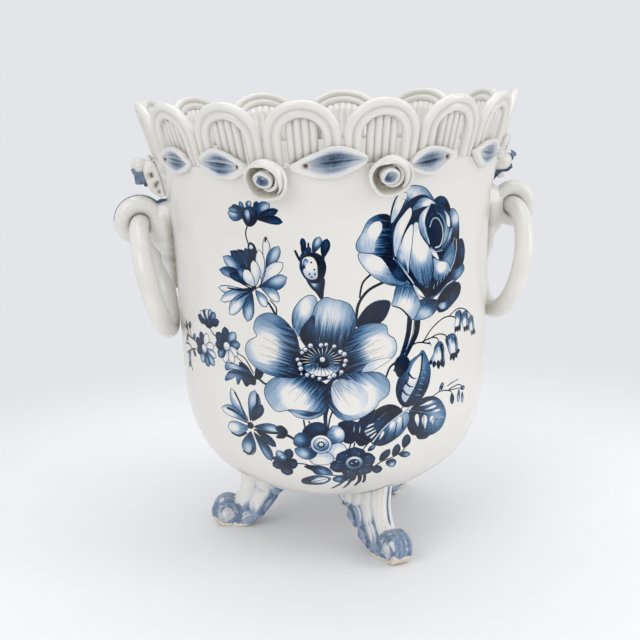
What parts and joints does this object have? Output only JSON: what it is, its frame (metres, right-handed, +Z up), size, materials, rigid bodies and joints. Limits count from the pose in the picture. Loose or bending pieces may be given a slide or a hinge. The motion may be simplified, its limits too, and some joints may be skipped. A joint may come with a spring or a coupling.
{
  "type": "planter",
  "caption": "Footed glazed planter with a pierced gallery of coiled arches, a modelled leaf and rose garland, ring handles in strap loops and curled leaf feet.",
  "frame": {"origin": "on the ground under the pot's axis, level with the underside of the feet", "axes": "+Z up along the pot's axis, -Y towards the front face with the big flowers, +X towards the right-hand ring handle"},
  "size_m": [0.2296, 0.203, 0.24],
  "materials": {
    "white_glaze": "glossy",
    "painted_glaze": "glossy",
    "foot_glaze": "glossy"
  },
  "bodies": {
    "root": {"bowl": "white_glaze", "gallery_arch_a": "white_glaze", "gallery_arch_b": "white_glaze", "gallery_arch_c": "white_glaze", "gallery_arch_d": "white_glaze", "gallery_arch_e": "white_glaze", "gallery_arch_f": "white_glaze", "gallery_arch_g": "white_glaze", "gallery_arch_h": "white_glaze", "gallery_arch_i": "white_glaze", "gallery_arch_j": "white_glaze", "gallery_arch_k": "white_glaze", "gallery_arch_l": "white_glaze", "gallery_arch_m": "white_glaze", "gallery_arch_n": "white_glaze", "gallery_tongue_a": "white_glaze", "gallery_tongue_b": "white_glaze", "gallery_tongue_c": "white_glaze", "gallery_tongue_d": "white_glaze", "gallery_tongue_e": "white_glaze", "gallery_tongue_f": "white_glaze", "gallery_tongue_g": "white_glaze", "gallery_tongue_h": "white_glaze", "gallery_tongue_i": "white_glaze", "gallery_tongue_j": "white_glaze", "gallery_tongue_k": "white_glaze", "gallery_tongue_l": "white_glaze", "gallery_tongue_m": "white_glaze", "gallery_tongue_n": "white_glaze", "rose_front_1": "painted_glaze", "rose_front_2": "painted_glaze", "rose_back_1": "painted_glaze", "rose_back_2": "painted_glaze", "spray_left": "painted_glaze", "spray_right": "painted_glaze", "leaf_front_1": "painted_glaze", "leaf_front_2": "painted_glaze", "leaf_front_3": "painted_glaze", "leaf_front_4": "painted_glaze", "leaf_front_5": "painted_glaze", "leaf_front_6": "painted_glaze", "leaf_back_1": "painted_glaze", "leaf_back_2": "painted_glaze", "leaf_back_3": "painted_glaze", "leaf_back_4": "painted_glaze", "leaf_back_5": "painted_glaze", "leaf_back_6": "painted_glaze", "handle_loop_right": "white_glaze", "handle_ring_right": "white_glaze", "handle_loop_left": "white_glaze", "handle_ring_left": "white_glaze", "foot_a": "foot_glaze", "foot_b": "foot_glaze", "foot_c": "foot_glaze"}
  },
  "joints": []
}
